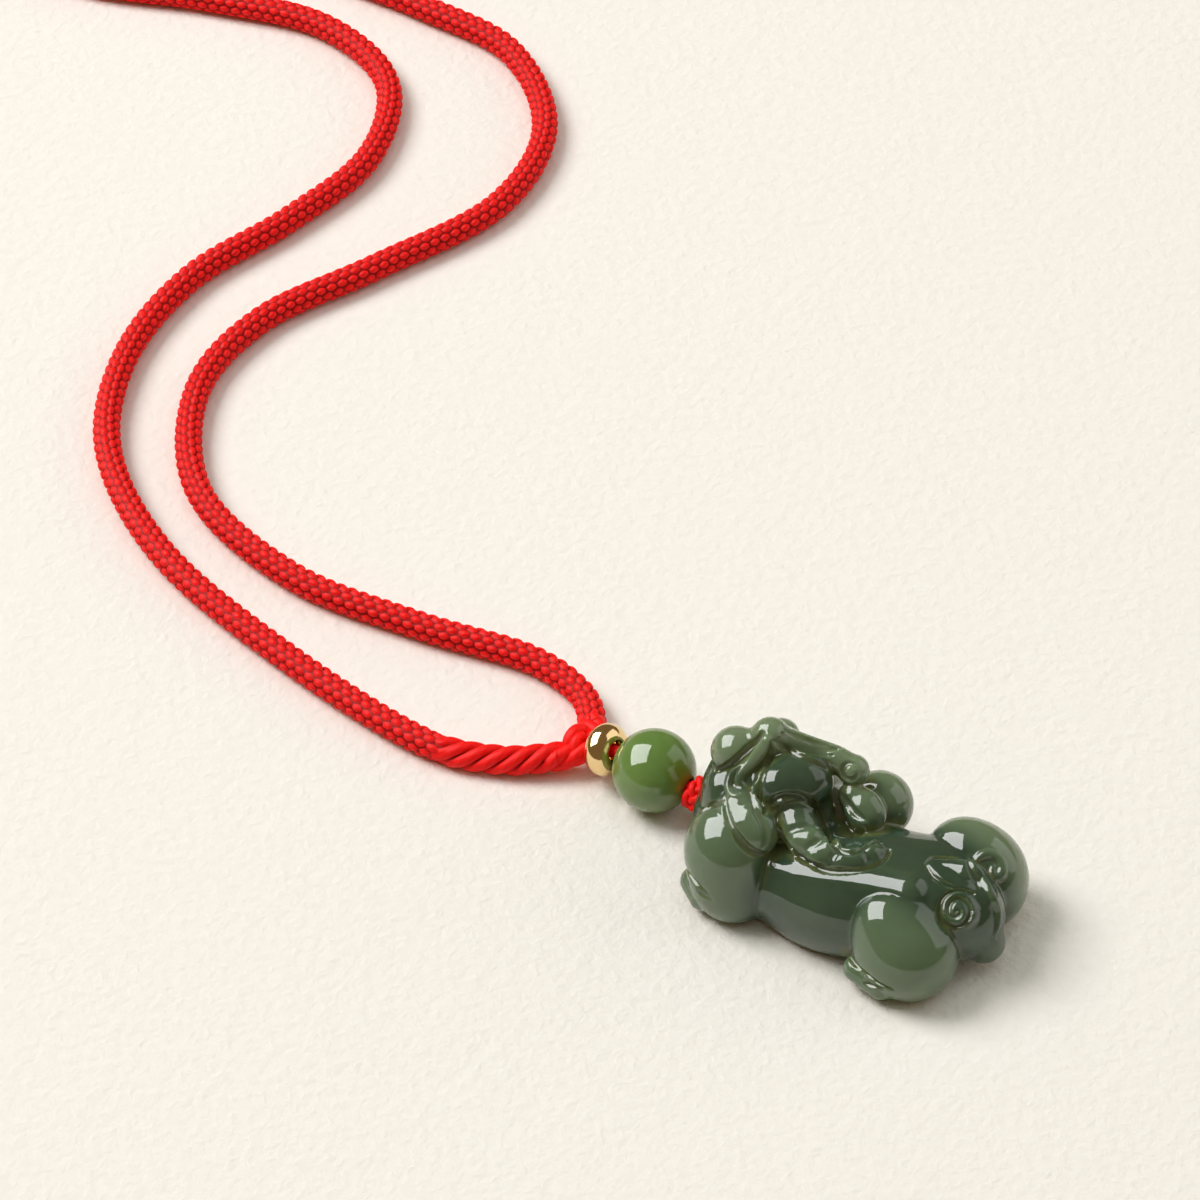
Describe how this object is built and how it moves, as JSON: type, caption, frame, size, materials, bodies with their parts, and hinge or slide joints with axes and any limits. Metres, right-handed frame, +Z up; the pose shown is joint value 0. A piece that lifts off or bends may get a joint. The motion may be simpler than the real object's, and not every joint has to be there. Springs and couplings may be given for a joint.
{
  "type": "chinese jade pendant with braided neck cord",
  "caption": "Carved jade beast pendant lying on its flat base, hung from a red braided neck cord by a thread through a jade bead, a red knot and a round gold spacer.",
  "frame": {"origin": "on the flat underside of the carved beast, near the middle of its length", "axes": "+X from the beast's head to its tail, along its longest side; +Z up from the surface that it lies on; the string of bead, knot and spacer runs along -X from the chest"},
  "size_m": [0.1904, 0.1427, 0.0178],
  "materials": {
    "dark_jade": "polished",
    "green_jade": "polished",
    "gold": "polished gold plate",
    "red_cord": "braided silk"
  },
  "bodies": {
    "root": {"pixiu_carving": "dark_jade", "jade_bead": "green_jade", "bead_knot": "red_cord", "gold_spacer": "gold", "hanging_thread": "red_cord", "cord_wrap": "red_cord", "neck_cord": "red_cord"}
  },
  "joints": []
}
